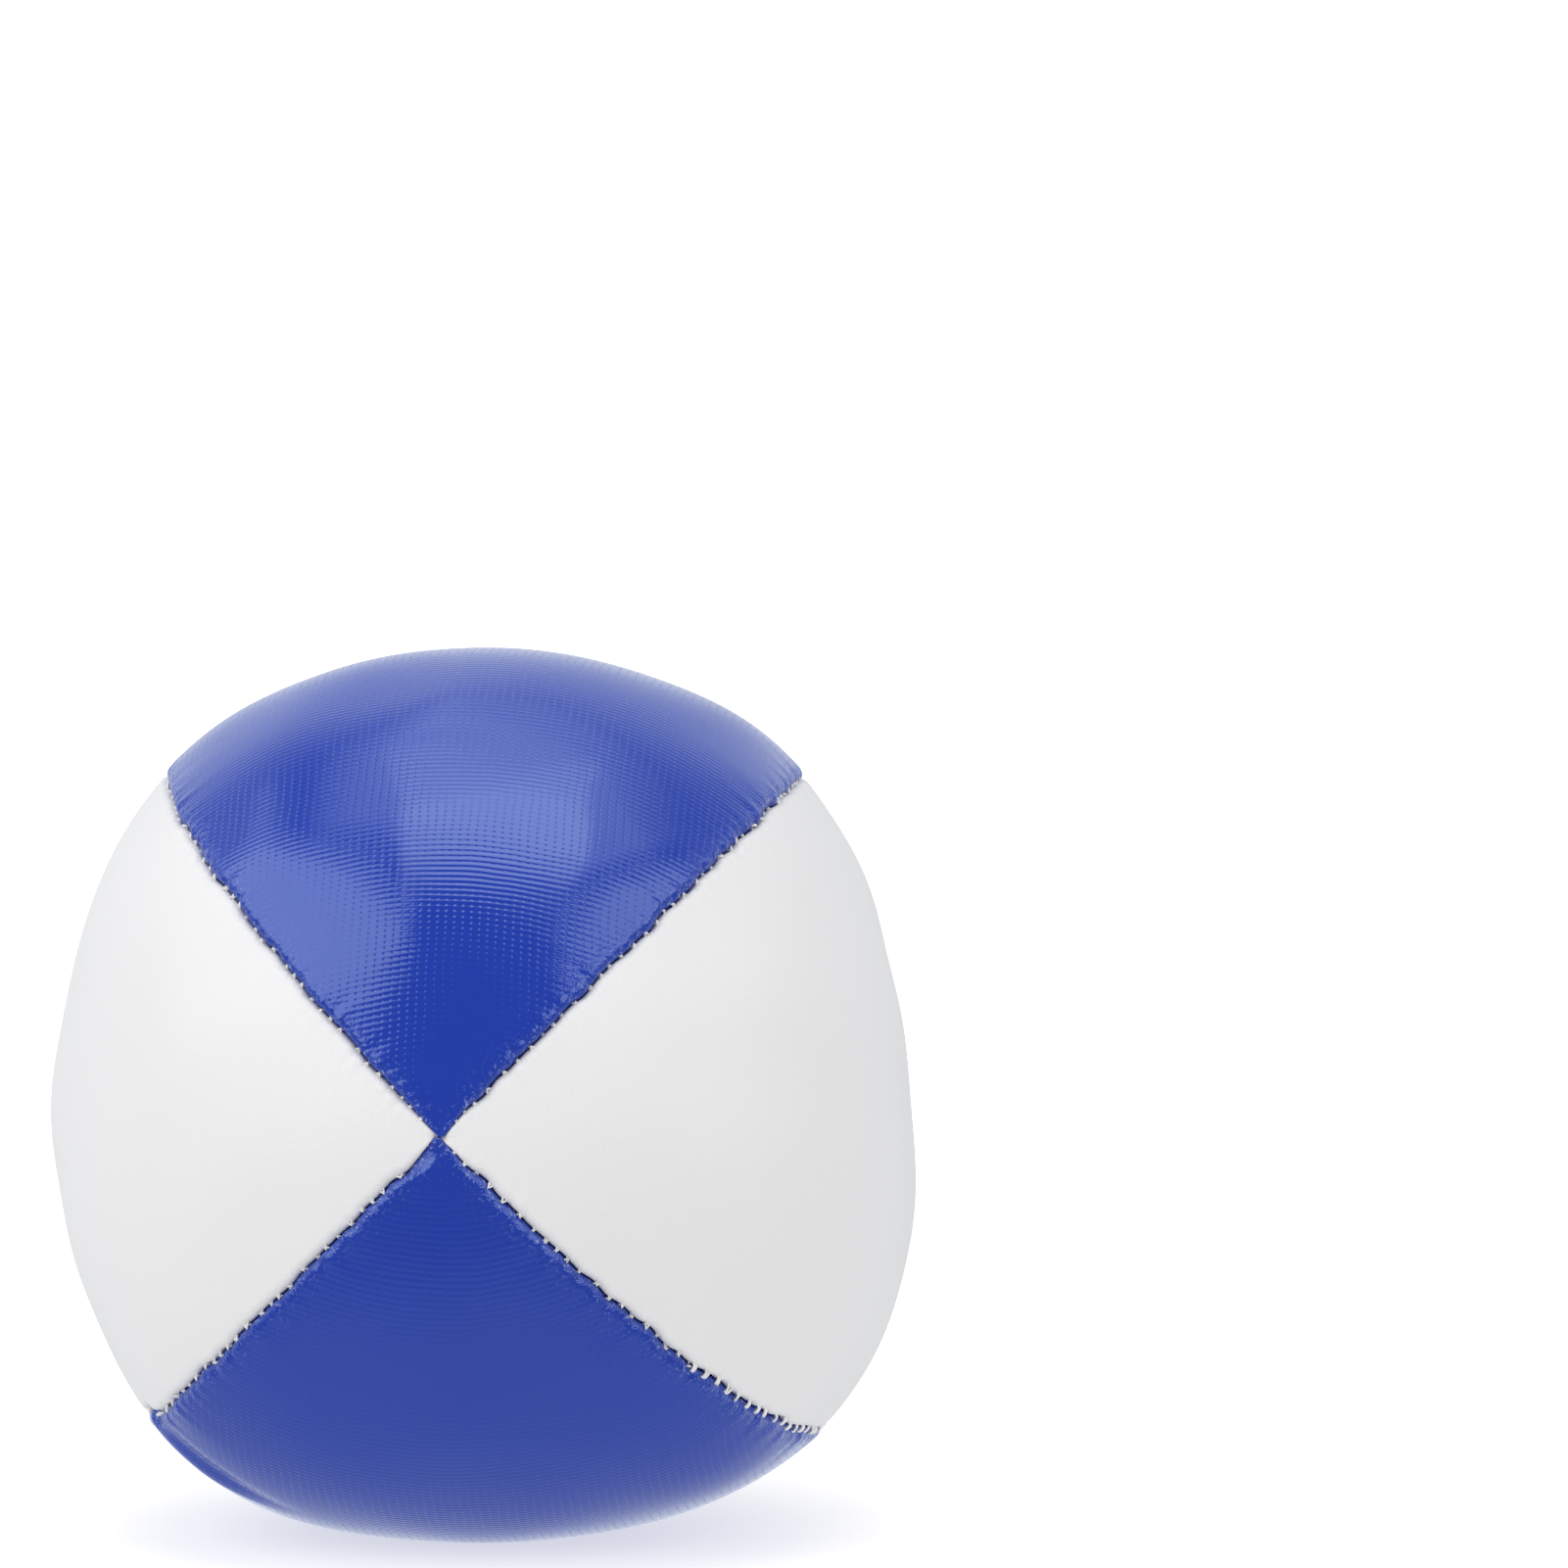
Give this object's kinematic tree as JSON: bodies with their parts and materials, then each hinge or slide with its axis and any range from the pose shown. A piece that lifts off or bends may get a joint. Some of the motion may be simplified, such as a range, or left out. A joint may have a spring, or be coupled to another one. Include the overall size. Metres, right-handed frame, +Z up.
{
  "type": "juggling ball",
  "caption": "Soft round juggling ball sewn from boat-shaped leathercloth panels in alternating blue and white, filled with millet, resting on a flattened foot.",
  "frame": {"origin": "centre of the flattened foot, on the floor, under the middle of the ball", "axes": "+Z up; Y runs through the two poles where the panel tips meet; the blue panels face up and down and the white panels face +X and -X"},
  "size_m": [0.0602, 0.0616, 0.0618],
  "materials": {
    "blue_leathercloth": "glossy blue polyurethane-coated leathercloth, embossed with a fine woven grain",
    "white_leathercloth": "satin white polyurethane-coated leathercloth, embossed with a fine woven grain",
    "white_thread": "matt white twisted polyester sewing thread",
    "millet": "smooth dry golden millet grain"
  },
  "bodies": {
    "root": {"panel_blue_top": "blue_leathercloth", "panel_blue_bottom": "blue_leathercloth", "panel_white_left": "white_leathercloth", "panel_white_right": "white_leathercloth", "thread_needle_upper_right": "white_thread", "thread_bobbin_upper_right": "white_thread", "thread_needle_lower_left": "white_thread", "thread_bobbin_lower_left": "white_thread", "thread_needle_ring": "white_thread", "thread_bobbin_ring": "white_thread", "thread_closing": "white_thread", "millet_fill": "millet"}
  },
  "joints": []
}
